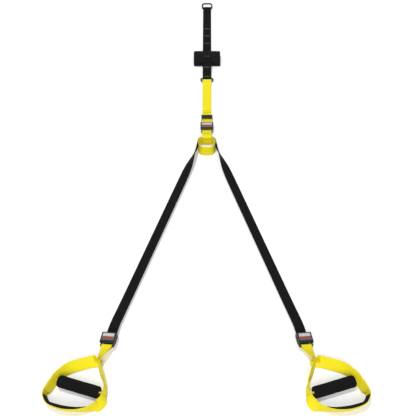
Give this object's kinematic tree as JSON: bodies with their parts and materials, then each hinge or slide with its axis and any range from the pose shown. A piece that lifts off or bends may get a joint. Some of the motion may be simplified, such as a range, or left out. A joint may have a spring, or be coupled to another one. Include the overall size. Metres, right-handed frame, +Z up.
{
  "type": "suspension trainer",
  "caption": "Strap trainer laid flat: black anchor strap with door pad, yellow extension strap with cam buckle, locking loop, and two black legs with foam grips and foot cradles.",
  "frame": {"origin": "Centre of the footprint, on the floor that the trainer lies on.", "axes": "+X to the right leg, +Y from the handles to the anchor ring, +Z up."},
  "size_m": [0.9926, 1.9258, 0.043],
  "materials": {
    "steel": "satin",
    "buckle_metal": "matte",
    "label": "matte",
    "black_webbing": "woven",
    "yellow_webbing": "woven",
    "pad_fabric": "woven",
    "foam": "matte",
    "tube_plastic": "matte"
  },
  "bodies": {
    "anchor": {"anchor_strap": "black_webbing", "door_pad_cover": "pad_fabric", "door_pad_foam": "foam"},
    "anchor_end": {"anchor_ring": "steel"},
    "link": {"link_ring": "steel", "extension_strap": "yellow_webbing"},
    "top_buckle": {"top_buckle_frame": "buckle_metal", "top_cam_pin": "steel", "top_cam_spring": "steel"},
    "top_cam": {"top_cam_lever": "buckle_metal", "top_lever_label": "label"},
    "yoke": {"yoke_strap": "yellow_webbing", "locking_loop": "yellow_webbing", "main_strap_bridge": "black_webbing"},
    "left_leg": {"left_leg_strap": "black_webbing"},
    "left_buckle": {"left_buckle_frame": "buckle_metal", "left_cam_pin": "steel", "left_cam_spring": "steel"},
    "left_cam": {"left_cam_lever": "buckle_metal", "left_lever_label": "label"},
    "left_handle": {"left_hand_loop_strap": "yellow_webbing", "left_foot_cradle_strap": "yellow_webbing", "left_cradle_pad": "pad_fabric", "left_grip_core_strap": "yellow_webbing"},
    "left_grip": {"left_grip_foam": "foam", "left_grip_tube": "tube_plastic"},
    "right_leg": {"right_leg_strap": "black_webbing"},
    "right_buckle": {"right_buckle_frame": "buckle_metal", "right_cam_pin": "steel", "right_cam_spring": "steel"},
    "right_cam": {"right_cam_lever": "buckle_metal", "right_lever_label": "label"},
    "right_handle": {"right_hand_loop_strap": "yellow_webbing", "right_foot_cradle_strap": "yellow_webbing", "right_cradle_pad": "pad_fabric", "right_grip_core_strap": "yellow_webbing"},
    "right_grip": {"right_grip_foam": "foam", "right_grip_tube": "tube_plastic"}
  },
  "joints": [
    {"name": "anchor_ring_turn", "type": "hinge", "parent": "anchor", "child": "anchor_end", "pos_m": [0, 0.92303, 0.0055], "axis": [1, 0, 0], "range_deg": [-150, 150]},
    {"name": "link_ring_turn", "type": "hinge", "parent": "anchor", "child": "link", "pos_m": [0, 0.44853, 0.0055], "axis": [1, 0, 0], "range_deg": [-80, 80]},
    {"name": "top_buckle_slide", "type": "slide", "parent": "link", "child": "top_buckle", "axis": [0, 1, 0], "range_m": [0, 0.11], "deforming": ["extension_strap"]},
    {"name": "top_cam_turn", "type": "hinge", "parent": "top_buckle", "child": "top_cam", "pos_m": [0, 0.18253, 0.0105], "axis": [-1, 0, 0], "range_deg": [0, 55], "stiffness_Nm_per_rad": 0.08, "springref_deg": -11.46},
    {"name": "yoke_turn", "type": "hinge", "parent": "top_buckle", "child": "yoke", "pos_m": [0, 0.14403, 0.0095], "axis": [1, 0, 0], "range_deg": [-75, 70]},
    {"name": "left_leg_swing", "type": "hinge", "parent": "yoke", "child": "left_leg", "pos_m": [-0.038, 0.05853, 0], "axis": [0, 0, 1], "range_deg": [-40, 12]},
    {"name": "left_buckle_slide", "type": "slide", "parent": "left_leg", "child": "left_buckle", "axis": [0.3346, 0.9423, 0], "range_m": [0, 0.45], "deforming": ["left_leg_strap"]},
    {"name": "left_cam_turn", "type": "hinge", "parent": "left_buckle", "child": "left_cam", "pos_m": [-0.31187, -0.72021, 0.01725], "axis": [-0.9336, 0.1815, -0.309], "range_deg": [0, 55], "stiffness_Nm_per_rad": 0.08, "springref_deg": -11.46},
    {"name": "left_handle_turn", "type": "hinge", "parent": "left_buckle", "child": "left_handle", "pos_m": [-0.31891, -0.75806, 0.0163], "axis": [0.9336, -0.1815, 0.309], "range_deg": [-80, 80]},
    {"name": "left_grip_turn", "type": "hinge", "parent": "left_handle", "child": "left_grip", "pos_m": [-0.39265, -0.88941, 0.019], "axis": [0.9617, -0.274, 0], "continuous": true},
    {"name": "right_leg_swing", "type": "hinge", "parent": "yoke", "child": "right_leg", "pos_m": [0.038, 0.05853, 0], "axis": [0, 0, 1], "range_deg": [-12, 40]},
    {"name": "right_buckle_slide", "type": "slide", "parent": "right_leg", "child": "right_buckle", "axis": [-0.3346, 0.9423, 0], "range_m": [0, 0.45], "deforming": ["right_leg_strap"]},
    {"name": "right_cam_turn", "type": "hinge", "parent": "right_buckle", "child": "right_cam", "pos_m": [0.31187, -0.72021, 0.01725], "axis": [-0.9336, -0.1815, 0.309], "range_deg": [0, 55], "stiffness_Nm_per_rad": 0.08, "springref_deg": -11.46},
    {"name": "right_handle_turn", "type": "hinge", "parent": "right_buckle", "child": "right_handle", "pos_m": [0.31891, -0.75806, 0.0163], "axis": [0.9336, 0.1815, -0.309], "range_deg": [-80, 80]},
    {"name": "right_grip_turn", "type": "hinge", "parent": "right_handle", "child": "right_grip", "pos_m": [0.39265, -0.88941, 0.019], "axis": [0.9617, 0.274, 0], "continuous": true}
  ]
}
